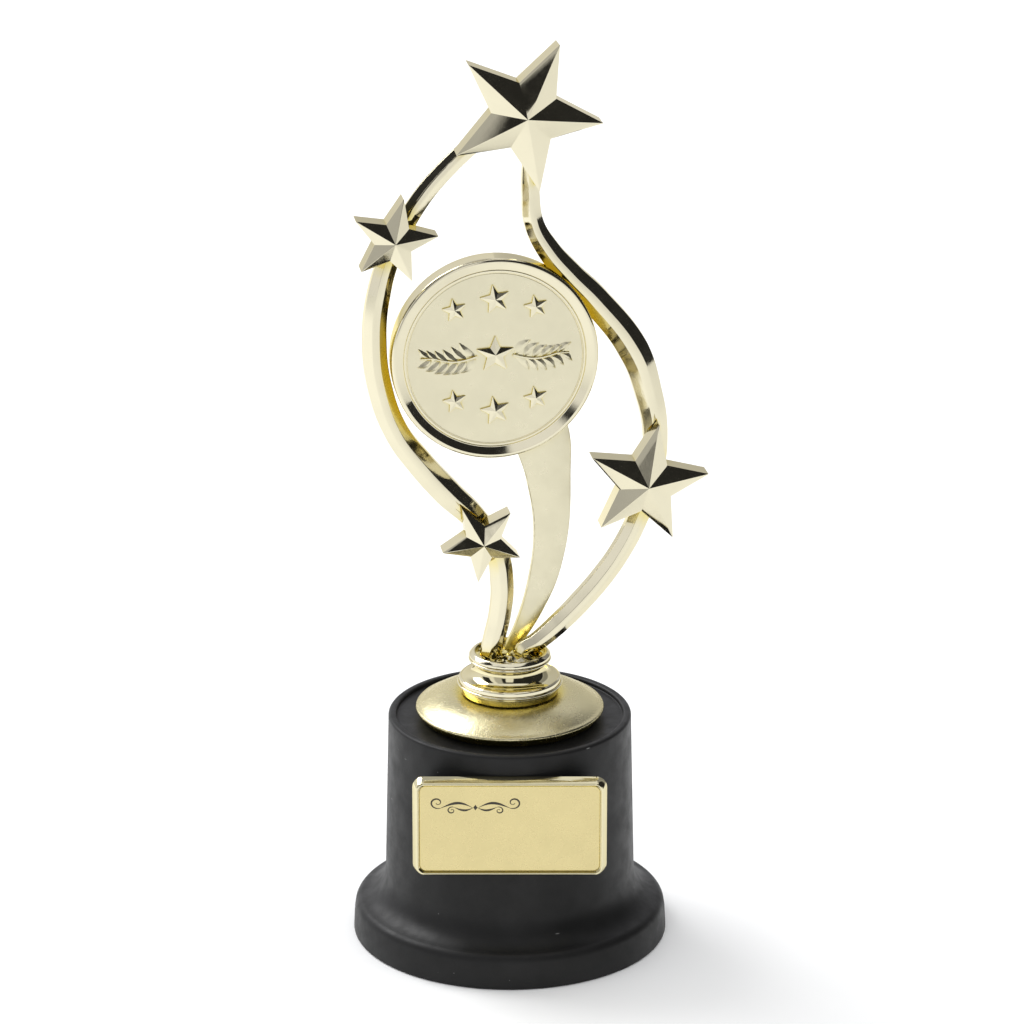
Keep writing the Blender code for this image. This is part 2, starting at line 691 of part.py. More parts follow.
def make_medal_back(bench, axis, satin):
    """Plain disc that closes the back of the medal."""
    radius = MEDAL_RADIUS - MEDAL_RIM - GAP
    high = MEDAL_LEDGE_BACK - GAP
    low = high - MEDAL_BACK_THICKNESS
    profile = [(0.0, high), (radius, high), (radius, low + 0.3), (radius - 0.4, low), (0.0, low)]
    back = turned("medal_back", profile, STEPS_SMALL, closed=False)
    at_medal(back)
    place(back, bench.pieces, axis, satin)


# ---------------------------------------------------------------- figure: stars

def make_star(bench, axis, gold, name, carriers):
    """Faceted star with a peg on its back for each arm that carries it."""
    across, up, radius, turn, peak = STARS[name]
    star = star_prism(name, radius, turn, STAR_BACK, STAR_BACK + STAR_DEPTH, STAR_LIP,
                      STAR_LIP_RISE, peak)
    stand_up(star)
    star.location = (across * MM, 0.0, up * MM)
    place(star, bench.pieces, axis, gold)
    for number, stations in enumerate(carriers):
        spot = nearest_on(stations, across, up)
        peg = cylinder(f"{name}_peg_{number}", PEG_RADIUS, STAR_BACK - PEG_LENGTH,
                       STAR_BACK + 1.0, 16)
        stand_up(peg)
        peg.location = (spot.x * MM, 0.0, spot.y * MM)
        bench.combine(star, bench.tool(peg, axis), "UNION")


def make_star_space(bench, axis, name):
    """Cutter that clears an arm in front of a star's back, with a small gap all round."""
    across, up, radius, turn, _ = STARS[name]
    clear = radius + GAP / math.sin(math.radians(24.0))
    space = star_prism(f"{name}_space", clear, turn, STAR_BACK - GAP, STAR_BACK + 12.0,
                       0.0, 0.0, 0.0)
    stand_up(space)
    space.location = (across * MM, 0.0, up * MM)
    return bench.tool(space, axis)


# ---------------------------------------------------------------- assembly

def make_figure(bench, axis, gold, satin, steel):
    """Everything that turns with the figure."""
    make_dome_foot(bench, axis, satin)
    make_collar(bench, axis, gold)
    make_hex_nut(bench, axis, steel)
    make_fixing_screw(bench, axis, steel)
    make_washer(bench, axis, steel)
    medal_space = cylinder("medal_space", MEDAL_RADIUS + GAP, MEDAL_BACK - 4.0,
                           MEDAL_FRONT + 4.0, 64)
    at_medal(medal_space)
    bench.tool(medal_space, axis)
    star_spaces = {name: make_star_space(bench, axis, name) for name in STARS}
    left_stars = ("star_low", "star_left", "star_top")
    right_stars = ("star_right", "star_top")
    make_arm(bench, axis, gold, "left_arm", LEFT_ARM, left_stars, medal_space, star_spaces)
    make_arm(bench, axis, gold, "right_arm", RIGHT_ARM, right_stars, medal_space, star_spaces)
    make_blade(bench, axis, satin)
    make_medal_ring(bench, axis, gold)
    make_medal_face(bench, axis, satin)
    make_medal_back(bench, axis, satin)
    make_star(bench, axis, gold, "star_top", (LEFT_ARM, RIGHT_ARM))
    make_star(bench, axis, gold, "star_left", (LEFT_ARM,))
    make_star(bench, axis, gold, "star_right", (RIGHT_ARM,))
    make_star(bench, axis, gold, "star_low", (LEFT_ARM,))


def make_base(bench, plastic, foam, steel, gold, satin, tape):
    """Everything that stands still."""
    make_base_shell(bench, plastic)
    make_base_weight(bench, steel)
    make_bottom_pad(bench, foam)
    make_plate_frame(bench, gold)
    plate_front = FRAME_FRONT - PLATE_RECESS
    make_plate(bench, "name_plate", plate_front, PLATE_THICKNESS, satin)
    make_plate(bench, "plate_tape", plate_front - PLATE_THICKNESS - GAP, TAPE_THICKNESS, tape)


def main():
    """Build the whole trophy."""
    clear_scene()
    bench = Bench()
    gold = principled("gold_bright", (0.80, 0.74, 0.54), 0.10, 1.0)
    satin = principled("gold_satin", (0.78, 0.71, 0.48), 0.30, 1.0)
    plastic = principled("black_plastic", (0.020, 0.020, 0.022), 0.42, 0.0)
    foam = principled("foam", (0.03, 0.03, 0.03), 0.90, 0.0)
    steel = principled("zinc_steel", (0.56, 0.57, 0.58), 0.35, 1.0)
    tape = principled("adhesive_tape", (0.75, 0.75, 0.72), 0.60, 0.0)
    axis = bpy.data.objects.new("figure_axis", None)
    bench.pieces.objects.link(axis)
    axis.rotation_euler = (0.0, 0.0, math.radians(FIGURE_YAW_DEG))
    make_base(bench, plastic, foam, steel, gold, satin, tape)
    make_figure(bench, axis, gold, satin, steel)
    bpy.context.view_layer.update()


main()
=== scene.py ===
"""Star trophy: the visual model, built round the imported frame.

Lengths are in millimetres and become metres where the meshes are made. The figure is drawn
facing -Y and then turned by FIGURE_YAW_DEG about the base's axis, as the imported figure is.
"""
import math

import bmesh
import bpy
from mathutils import Matrix, Vector


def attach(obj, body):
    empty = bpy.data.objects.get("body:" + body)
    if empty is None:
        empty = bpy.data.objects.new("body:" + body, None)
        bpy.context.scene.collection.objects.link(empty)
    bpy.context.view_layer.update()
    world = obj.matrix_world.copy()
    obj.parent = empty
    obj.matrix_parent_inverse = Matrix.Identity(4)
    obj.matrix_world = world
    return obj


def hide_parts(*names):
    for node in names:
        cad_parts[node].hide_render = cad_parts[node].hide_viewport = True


MM = 0.001
FIGURE_YAW_DEG = 9.0
TURN_STEPS = 168


# ---------------------------------------------------------------- placing and finishing

UPRIGHT = Matrix.Rotation(math.pi / 2, 4, "X")
YAW = Matrix.Rotation(math.radians(FIGURE_YAW_DEG), 4, "Z")


def shift(across, depth, up):
    """Translation in millimetres."""
    return Matrix.Translation((across * MM, depth * MM, up * MM))


def facing(across, up, depth=0.0):
    """Matrix that stands a piece drawn flat on the figure's plane, its Z to the front."""
    return YAW @ shift(across, depth, up) @ UPRIGHT


def finish_mesh(bm, name, matrix=None):
    """Close a bmesh off as an object in the scene."""
    bmesh.ops.remove_doubles(bm, verts=bm.verts, dist=1e-8)
    bmesh.ops.recalc_face_normals(bm, faces=bm.faces)
    mesh = bpy.data.meshes.new(name)
    bm.to_mesh(mesh)
    bm.free()
    if matrix is not None:
        mesh.transform(matrix)
    obj = bpy.data.objects.new(name, mesh)
    bpy.context.scene.collection.objects.link(obj)
    return obj


def smooth(obj, crease_deg):
    """Shade smoothly, but keep edges sharper than an angle."""
    mesh = obj.data
    mesh.shade_smooth()
    mesh.set_sharp_from_angle(angle=math.radians(crease_deg))


def combine(obj, tool, operation):
    """Apply one exact Boolean step and remove its tool."""
    step = obj.modifiers.new("step", "BOOLEAN")
    step.operation = operation
    step.solver = "EXACT"
    step.object = tool
    bpy.context.view_layer.update()
    evaluated = obj.evaluated_get(bpy.context.evaluated_depsgraph_get())
    mesh = bpy.data.meshes.new_from_object(evaluated)
    obj.modifiers.remove(step)
    mesh.name = obj.name
    obj.data = mesh
    bpy.data.objects.remove(tool, do_unlink=True)


def hand_over(obj, body, slot, material, *nodes):
    """Give a finished piece its material and its body, and hide the nodes it stands for; the slot
    is not used.
    """
    obj.data.materials.clear()
    obj.data.materials.append(material)
    if nodes:
        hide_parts(*nodes)
    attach(obj, body)


# ---------------------------------------------------------------- shapes

def arc(centre, radius, start_deg, end_deg, count):
    """Points on an arc of a profile, both ends included."""
    points = []
    for i in range(count + 1):
        angle = math.radians(start_deg + (end_deg - start_deg) * i / count)
        points.append((centre[0] + radius * math.cos(angle), centre[1] + radius * math.sin(angle)))
    return points


def rounded(corners, count=4, closed=False):
    """A polyline whose corners (x, y, radius) are replaced by arcs; radius 0 keeps a corner."""
    points = []
    last = len(corners) - 1
    for i, corner in enumerate(corners):
        here = Vector(corner[:2])
        radius = corner[2] if len(corner) > 2 else 0.0
        if radius <= 0.0 or (not closed and i in (0, last)):
            points.append(tuple(here))
            continue
        back = (Vector(corners[i - 1][:2]) - here).normalized()
        on = (Vector(corners[(i + 1) % len(corners)][:2]) - here).normalized()
        half = back.angle(on) / 2
        reach = radius / math.tan(half)
        middle = here + (back + on).normalized() * (radius / math.sin(half))
        start = here + back * reach - middle
        end = here + on * reach - middle
        sweep = math.pi - 2 * half
        side = 1.0 if start.x * end.y - start.y * end.x > 0 else -1.0
        for k in range(count + 1):
            turn = side * sweep * k / count
            spoke = Vector((start.x * math.cos(turn) - start.y * math.sin(turn),
                            start.x * math.sin(turn) + start.y * math.cos(turn)))
            points.append(tuple(middle + spoke))
    return points


def turned(name, profile, closed, steps=TURN_STEPS, matrix=None):
    """Turn a (radius, height) profile about Z; an open one begins and ends on the axis."""
    bm = bmesh.new()
    rings = []
    for radius, height in profile:
        if radius < 1e-6:
            rings.append([bm.verts.new((0.0, 0.0, height * MM))])
            continue
        ring = []
        for k in range(steps):
            angle = 2 * math.pi * k / steps
            spot = (radius * math.cos(angle) * MM, radius * math.sin(angle) * MM, height * MM)
            ring.append(bm.verts.new(spot))
        rings.append(ring)
    pairs = list(zip(rings, rings[1:]))
    if closed:
        pairs.append((rings[-1], rings[0]))
    for low, high in pairs:
        for k in range(steps):
            a = low[k % len(low)]
            b = low[(k + 1) % len(low)]
            c = high[(k + 1) % len(high)]
            d = high[k % len(high)]
            face = [v for i, v in enumerate((a, b, c, d)) if v not in (a, b, c, d)[:i]]
            if len(face) > 2:
                bm.faces.new(face)
    return finish_mesh(bm, name, matrix)


def loft(name, rings, matrix=None, closed=False):
    """Skin a list of equal closed rings of (x, y, z) points in millimetres."""
    bm = bmesh.new()
    made = [[bm.verts.new(Vector(p) * MM) for p in ring] for ring in rings]
    pairs = list(zip(made, made[1:]))
    if closed:
        pairs.append((made[-1], made[0]))
    count = len(rings[0])
    for low, high in pairs:
        for k in range(count):
            n = (k + 1) % count
            bm.faces.new((low[k], low[n], high[n], high[k]))
    if not closed:
        bm.faces.new(list(reversed(made[0])))
        bm.faces.new(made[-1])
    return finish_mesh(bm, name, matrix)


def box_outline(width, height, corner, count=6):
    """Rounded rectangle round the origin."""
    x = width / 2
    y = height / 2
    return rounded([(x, -y, corner), (x, y, corner), (-x, y, corner), (-x, -y, corner)],
                   count, closed=True)


def box_rings(size, steps, count=8):
    """Rings of a rounded rectangle, from (inset, height, corner radius) steps."""
    rings = []
    for inset, height, corner in steps:
        outline = box_outline(size[0] - 2 * inset, size[1] - 2 * inset, corner, count)
        rings.append([(x, y, height) for x, y in outline])
    return rings


def curve_mesh(obj):
    """Replace a curve object by a welded mesh object of the same name."""
    bpy.context.view_layer.update()
    evaluated = obj.evaluated_get(bpy.context.evaluated_depsgraph_get())
    mesh = bpy.data.meshes.new_from_object(evaluated)
    name = obj.name
    bpy.data.objects.remove(obj, do_unlink=True)
    bm = bmesh.new()
    bm.from_mesh(mesh)
    return finish_mesh(bm, name)


def smooth_spline(data, stations, cyclic):
    """Add a smooth Bezier spline through (x, y, section scale, section turn in degrees) stations.

    The scale and the turn can be left out.
    """
    spline = data.splines.new("BEZIER")
    spline.bezier_points.add(len(stations) - 1)
    for point, station in zip(spline.bezier_points, stations):
        point.co = (station[0] * MM, station[1] * MM, 0.0)
        point.handle_left_type = "AUTO"
        point.handle_right_type = "AUTO"
        if len(station) > 2:
            point.radius = station[2]
        if len(station) > 3:
            point.tilt = math.radians(station[3])
    spline.use_cyclic_u = cyclic
    return spline


# ---------------------------------------------------------------- material nodes

class Graph:
    """Short calls for building a node tree."""

    def __init__(self, tree):
        self.tree = tree

    def feed(self, socket, value):
        """Link a socket or set its value."""
        if isinstance(value, bpy.types.NodeSocket):
            self.tree.links.new(value, socket)
        else:
            socket.default_value = value

    def add(self, kind, inputs=None, **settings):
        """Make a node with settings and inputs."""
        node = self.tree.nodes.new(kind)
        for key, value in settings.items():
            setattr(node, key, value)
        for key, value in (inputs or {}).items():
            self.feed(node.inputs[key], value)
        return node

    def math(self, operation, a, b=0.0):
        """One Math node."""
        return self.add("ShaderNodeMath", {0: a, 1: b}, operation=operation).outputs[0]

    def ramp(self, value, low, high, out_low=0.0, out_high=1.0):
        """Smooth step of a value between two limits."""
        node = self.add("ShaderNodeMapRange", {"Value": value, "From Min": low, "From Max": high,
                                               "To Min": out_low, "To Max": out_high},
                        interpolation_type="SMOOTHSTEP")
        return node.outputs["Result"]

    def noise(self, coords, scale, detail=2.0, rough=0.5):
        """Noise texture, as a value."""
        node = self.add("ShaderNodeTexNoise", {"Vector": coords, "Scale": scale,
                                               "Detail": detail, "Roughness": rough})
        return node.outputs["Fac"]

    def blend(self, share, a, b):
        """Mix two colours."""
        node = self.add("ShaderNodeMix", data_type="RGBA")
        self.feed(node.inputs[0], share)
        self.feed(node.inputs[6], a)
        self.feed(node.inputs[7], b)
        return node.outputs[2]


def new_material(name):
    """A material with its Principled node and the object's own coordinates."""
    material = bpy.data.materials.new(name)
    material.use_nodes = True
    graph = Graph(material.node_tree)
    shader = material.node_tree.nodes["Principled BSDF"]
    coords = graph.add("ShaderNodeTexCoord").outputs["Object"]
    return material, graph, shader, coords


def colour4(colour, gain=1.0):
    """RGBA from RGB."""
    return (colour[0] * gain, colour[1] * gain, colour[2] * gain, 1.0)


def metallised(name, colour, rough_low, rough_high, grain, grain_depth, wave_depth):
    """Vacuum-metallised plastic: tinted mirror with fine grain and waves, and painted yellow bounce
    light mixed into the colour in hollows.
    """
    material, graph, shader, coords = new_material(name)
    cloud = graph.noise(coords, 160.0, 3.0)
    tint = graph.blend(graph.ramp(cloud, 0.3, 0.7), colour4(colour, 0.965), colour4(colour))
    # Painted light: where ambient occlusion finds a hollow, a saturated yellow is mixed into the
    # base colour in place of light bounced between the gold surfaces.
    openness = graph.add("ShaderNodeAmbientOcclusion", {"Distance": HOLLOW_REACH * MM}, samples=8)
    hollow = graph.ramp(openness.outputs["AO"], 0.92, 0.35, 0.0, PAINTED_BOUNCE_SHARE)
    tint = graph.blend(hollow, tint, PAINTED_BOUNCE_GOLD)
    graph.feed(shader.inputs["Base Color"], tint)
    shader.inputs["Metallic"].default_value = 1.0
    shader.inputs["Specular Tint"].default_value = EDGE_TINT
    smear = graph.noise(coords, 420.0, 4.0, 0.6)
    graph.feed(shader.inputs["Roughness"], graph.ramp(smear, 0.3, 0.72, rough_low, rough_high))
    fine = graph.noise(coords, grain, 3.0, 0.65)
    slow = graph.noise(coords, 230.0, 1.0)
    bump = graph.add("ShaderNodeBump", {"Height": slow, "Distance": wave_depth * MM})
    bump = graph.add("ShaderNodeBump", {"Height": fine, "Distance": grain_depth * MM,
                                        "Normal": bump.outputs[0]})
    graph.feed(shader.inputs["Normal"], bump.outputs[0])
    return material


def cell_marks(graph, coords, scale, full, none, rarity):
    """Small marks in the few Voronoi cells whose random colour is above the rarity."""
    cells = graph.add("ShaderNodeTexVoronoi", {"Vector": coords, "Scale": scale})
    chance = graph.add("ShaderNodeSeparateColor", {"Color": cells.outputs["Color"]})
    return graph.math("MULTIPLY", graph.ramp(cells.outputs["Distance"], none, full),
                      graph.math("GREATER_THAN", chance.outputs[0], rarity))


def black_moulding():
    """Black moulded plastic: fine satin texture, faint rub marks, scuffs and dust."""
    material, graph, shader, coords = new_material("black_moulding")
    cloud = graph.noise(coords, 90.0, 4.0, 0.6)
    plain = graph.blend(graph.ramp(cloud, 0.3, 0.7), (0.0070, 0.0070, 0.0070, 1.0),
                        (0.0105, 0.0105, 0.0104, 1.0))
    speck = cell_marks(graph, coords, 620.0, 0.04, 0.10, 0.965)
    stretched = graph.add("ShaderNodeMapping", {"Vector": coords, "Scale": (1.0, 1.0, 5.0),
                                                "Rotation": (0.4, 1.25, 0.3)})
    scuff = cell_marks(graph, stretched.outputs[0], 240.0, 0.06, 0.16, 0.978)
    mark = graph.math("MAXIMUM", graph.math("MULTIPLY", speck, 0.35),
                      graph.math("MULTIPLY", scuff, 0.5))
    colour = graph.blend(mark, plain, (0.30, 0.30, 0.29, 1.0))
    graph.feed(shader.inputs["Base Color"], colour)
    rub = graph.noise(coords, 260.0, 5.0, 0.62)
    graph.feed(shader.inputs["Roughness"], graph.ramp(rub, 0.28, 0.74, 0.40, 0.54))
    shader.inputs["Specular IOR Level"].default_value = 0.25
    fine = graph.noise(coords, 2600.0, 3.0, 0.6)
    broad = graph.noise(coords, 120.0, 1.0)
    bump = graph.add("ShaderNodeBump", {"Height": broad, "Distance": 0.10 * MM})
    bump = graph.add("ShaderNodeBump", {"Height": fine, "Distance": 0.018 * MM,
                                        "Normal": bump.outputs[0]})
    graph.feed(shader.inputs["Normal"], bump.outputs[0])
    return material


def plain_surface(name, low, high, rough_low, rough_high, metallic, grain, depth):
    """Mottled surface for the pieces inside the base."""
    material, graph, shader, coords = new_material(name)
    cloud = graph.noise(coords, grain * 0.2, 4.0, 0.6)
    tint = graph.blend(graph.ramp(cloud, 0.3, 0.7), colour4(low), colour4(high))
    graph.feed(shader.inputs["Base Color"], tint)
    shader.inputs["Metallic"].default_value = metallic
    rub = graph.noise(coords, grain * 0.5, 3.0)
    graph.feed(shader.inputs["Roughness"], graph.ramp(rub, 0.3, 0.7, rough_low, rough_high))
    fine = graph.noise(coords, grain, 3.0, 0.6)
    bump = graph.add("ShaderNodeBump", {"Height": fine, "Distance": depth * MM})
    graph.feed(shader.inputs["Normal"], bump.outputs[0])
    return material


# ---------------------------------------------------------------- base

FOOT_RADIUS = 32.5
DRUM_LOW = 25.75
DRUM_TOP = 24.95
BASE_HEIGHT = 48.0
TOP_RECESS = 0.9
RIM_WIDTH = 1.7
WALL = 2.4
SCREW_BORE = 2.8
BOSS_RADIUS = 7.0
BOSS_FOOT_Z = 41.0
PAD_RADIUS = 27.7
PAD_Z = 1.9
PLATE_Z = 33.3
FRAME_FRONT = 27.5
FRAME_DEPTH = 2.2
FRAME_SIZE = (39.2, 21.3)
FRAME_DRAFT = 0.75
FRAME_CLEARANCE = 0.3
SEAT_MARGIN = 1.0
SEAT_ROOT = 5.0
SEAT_PAD_FRONT = 25.5
SEAT_SLOPE_DEG = 25.0
PLATE_SIZE = (36.35, 18.45)
PLATE_FRONT = 27.0
FLOURISH_PLACE = (-6.9, 4.6)
FLOURISH_SCALE = (1.2, 1.05, 1.35)
FLOURISH_RISE = 0.02

# Bezel rings: (inset from the outer outline, height above the back, corner radius)
FRAME_RINGS = (
    (0.0, 0.0, 2.3),
    (0.04, 0.15, 2.26),
    (FRAME_DRAFT - 0.14, FRAME_DEPTH - 0.24, 1.75),
    (FRAME_DRAFT - 0.02, FRAME_DEPTH - 0.08, 1.65),
    (FRAME_DRAFT + 0.12, FRAME_DEPTH, 1.6),
    (FRAME_DRAFT + 0.28, FRAME_DEPTH, 1.5),
    (FRAME_DRAFT + 0.38, FRAME_DEPTH - 0.08, 1.45),
    (FRAME_DRAFT + 0.45, FRAME_DEPTH - 0.24, 1.4),
    (FRAME_DRAFT + 0.58, FRAME_DEPTH - 0.34, 1.35),
    (FRAME_DRAFT + 0.64, FRAME_DEPTH - 0.48, 1.3),
    (FRAME_DRAFT + 0.64, 0.0, 1.3),
)
# Plate rings: (inset, height above the front, corner radius)
PLATE_RINGS = ((0.0, -0.5, 1.3), (0.0, -0.06, 1.3), (0.06, 0.0, 1.24))


def base_profile():
    """Closed profile of the moulding: outer skin, recessed top, screw hole and hollow."""
    slope = math.radians(15.0)
    shoulder = (30.1, 5.4)
    bulge = 2.0
    meet = (shoulder[0] + bulge * math.sin(slope), shoulder[1] + bulge * math.cos(slope))
    cove = (meet[0] - DRUM_LOW) / (1.0 - math.sin(slope))
    cove_centre = (DRUM_LOW + cove, meet[1] + cove * math.cos(slope))
    floor = BASE_HEIGHT - TOP_RECESS
    inner = DRUM_TOP - RIM_WIDTH
    profile = rounded([(SCREW_BORE, floor), (inner, floor, 0.25), (inner, BASE_HEIGHT, 0.55),
                       (DRUM_TOP, BASE_HEIGHT, 0.65), (DRUM_TOP + 0.02, 46.0)], 6)
    profile += arc(cove_centre, cove, 180, 255, 16)
    profile += arc(shoulder, bulge, 75, 4, 9)
    profile += rounded([(32.25, 4.6), (FOOT_RADIUS, 0.0, 0.5), (30.2, 0.0, 0.2),
                        (29.8, PAD_Z), (PAD_RADIUS, PAD_Z)], 4)
    profile += [(PAD_RADIUS, 4.5), (DRUM_LOW - WALL, 12.0), (DRUM_TOP - WALL, floor - WALL)]
    profile += [(BOSS_RADIUS, floor - WALL), (BOSS_RADIUS, BOSS_FOOT_Z), (SCREW_BORE, BOSS_FOOT_Z)]
    return profile


def make_base(black):
    """The black base moulding with the flat seat of the name plate."""
    base = turned("base_moulding", base_profile(), closed=True)
    back = FRAME_FRONT - FRAME_DEPTH - FRAME_CLEARANCE
    block = (FRAME_SIZE[0] - SEAT_MARGIN, FRAME_SIZE[1] - SEAT_MARGIN)
    lean = Matrix.Rotation(-math.radians(SEAT_SLOPE_DEG), 4, "X")
    slope_place = shift(0.0, -back, PLATE_Z + FRAME_SIZE[1] / 2 - SEAT_MARGIN / 2) @ lean
    for size, corner, front in ((block, 2.5, back), (PLATE_SIZE, 1.5, SEAT_PAD_FRONT)):
        steps = [(0.0, height, corner) for height in (0.0, front - DRUM_TOP + SEAT_ROOT)]
        place = shift(0.0, SEAT_ROOT - DRUM_TOP, PLATE_Z) @ UPRIGHT
        step = loft("seat", box_rings(size, steps, 6), place)
        slope = box_rings((80.0, 44.0), [(0.0, height, 1.0) for height in (0.0, 25.0)], 6)
        combine(step, loft("slope", slope, slope_place), "DIFFERENCE")
        combine(base, step, "UNION")
    smooth(base, 32.0)
    hand_over(base, "base", "black_plastic", black, "base_shell")


def make_bezel(gold):
    """Mirror-bright bezel: sloping sides, a rounded rim and a fine inner step."""
    place = shift(0.0, FRAME_DEPTH - FRAME_FRONT, PLATE_Z) @ UPRIGHT
    bezel = loft("name_bezel", box_rings(FRAME_SIZE, FRAME_RINGS), place, closed=True)
    profile = [(0.0, BASE_HEIGHT), (DRUM_TOP + FRAME_CLEARANCE, BASE_HEIGHT),
               (DRUM_LOW + FRAME_CLEARANCE, 10.0), (0.0, 10.0)]
    combine(bezel, turned("clearance", profile, closed=False, steps=96), "DIFFERENCE")
    smooth(bezel, 24.0)
    hand_over(bezel, "base", "gold_bright", gold, "plate_frame")


def scroll_line():
    """Points and half widths of half a scroll flourish, from its middle outwards."""
    points = []
    for i in range(61):
        t = i / 60
        rise = 1.05 * math.sin(math.pi * 1.05 * t) * (1 - 0.25 * t)
        points.append((0.55 + 5.3 * t, rise, 0.03 + 0.17 * math.sin(math.pi * t) ** 1.5))
    start = Vector(points[-1][:2])
    centre = start + Vector((0.55, 1.12))
    spoke = start - centre
    for i in range(1, 91):
        turn = math.radians(5.0 * i)
        shrink = 1.0 - 0.0094 * i
        x = spoke.x * math.cos(turn) - spoke.y * math.sin(turn)
        y = spoke.x * math.sin(turn) + spoke.y * math.cos(turn)
        width = 0.045 + 0.12 * abs(math.sin(turn / 2)) * shrink
        points.append((centre.x + x * shrink, centre.y + y * shrink, width))
    return points


def ribbon(name, points, thickness, matrix):
    """A flat stroke of varying width, a little proud of the surface it lies on."""
    bm = bmesh.new()
    rows = []
    for i, (x, y, half) in enumerate(points):
        before = Vector(points[max(0, i - 1)][:2])
        after = Vector(points[min(len(points) - 1, i + 1)][:2])
        run = (after - before).normalized()
        side = Vector((-run.y, run.x)) * half
        row = []
        for sign, z in ((1, 0.0), (1, thickness), (-1, thickness), (-1, 0.0)):
            row.append(bm.verts.new(((x + sign * side.x) * MM, (y + sign * side.y) * MM, z * MM)))
        rows.append(row)
    for a, b in zip(rows, rows[1:]):
        for k in range(4):
            n = (k + 1) % 4
            bm.faces.new((a[k], a[n], b[n], b[k]))
    bm.faces.new(rows[0])
    bm.faces.new(rows[-1])
    return finish_mesh(bm, name, matrix)


def make_plate(satin, ink):
    """Satin name plate with a printed scroll flourish near its upper left corner."""
    place = shift(0.0, -PLATE_FRONT, PLATE_Z) @ UPRIGHT
    plate = loft("name_plate_sheet", box_rings(PLATE_SIZE, PLATE_RINGS), place)
    smooth(plate, 30.0)
    hand_over(plate, "base", "gold_satin", satin, "name_plate")
    middle = shift(FLOURISH_PLACE[0], -PLATE_FRONT, PLATE_Z + FLOURISH_PLACE[1]) @ UPRIGHT
    long, tall, bold = FLOURISH_SCALE
    strokes = []
    for sign in (1, -1):
        for flip in (1, -1):
            line = [(sign * x * long, flip * y * tall, w * bold) for x, y, w in scroll_line()]
            if flip == -1:
                line = [(x * 0.62, y * 0.62, w * 0.8) for x, y, w in line]
            strokes.append(ribbon("stroke", line, FLOURISH_RISE, middle))
    rings = [[(0.42, 0.0, z), (0.0, 0.62, z), (-0.42, 0.0, z), (0.0, -0.62, z)]
             for z in (0.0, FLOURISH_RISE)]
    strokes.append(loft("stroke", rings, middle))
    flourish = join(strokes, "plate_flourish")
    hand_over(flourish, "base", "gold_satin", ink)


def join(objects, name):
    """Make one object of several meshes that don't touch."""
    bm = bmesh.new()
    for obj in objects:
        bm.from_mesh(obj.data)
        bpy.data.objects.remove(obj, do_unlink=True)
    mesh = bpy.data.meshes.new(name)
    bm.to_mesh(mesh)
    bm.free()
    obj = bpy.data.objects.new(name, mesh)
    bpy.context.scene.collection.objects.link(obj)
    return obj


# ---------------------------------------------------------------- figure: foot and collar

CUP_RIM_Z = 61.4
CUP_FLOOR_Z = 60.75
ROOT_Z = 60.3
DOME_TOP_Z = 52.4
DOME_FLAT_RADIUS = 10.9
DOME_REACH = 7.9
DOME_DROP = 2.7
WAIST_RADIUS = 7.1
WAIST_Z = 58.35
POCKET_RADIUS = 4.95
LUMP_HEIGHT = 0.42
LUMP_RADIUS = 6.7


def make_dome(satin):
    """Low satin dome with a rolled edge, lying in the base's recess."""
    low = BASE_HEIGHT - TOP_RECESS + 0.3
    profile = [(SCREW_BORE, DOME_TOP_Z), (DOME_FLAT_RADIUS, DOME_TOP_Z)]
    for i in range(1, 15):
        share = i / 14
        profile.append((DOME_FLAT_RADIUS + DOME_REACH * share, DOME_TOP_Z - DOME_DROP * share ** 2))
    profile += arc((18.8, 49.2), 0.5, 70, -70, 8)
    profile += [(17.9, low), (SCREW_BORE, low)]
    dome = turned("dome_disc", profile, closed=True, matrix=YAW)
    smooth(dome, 40.0)
    hand_over(dome, "figure", "gold_satin", satin, "dome_foot")


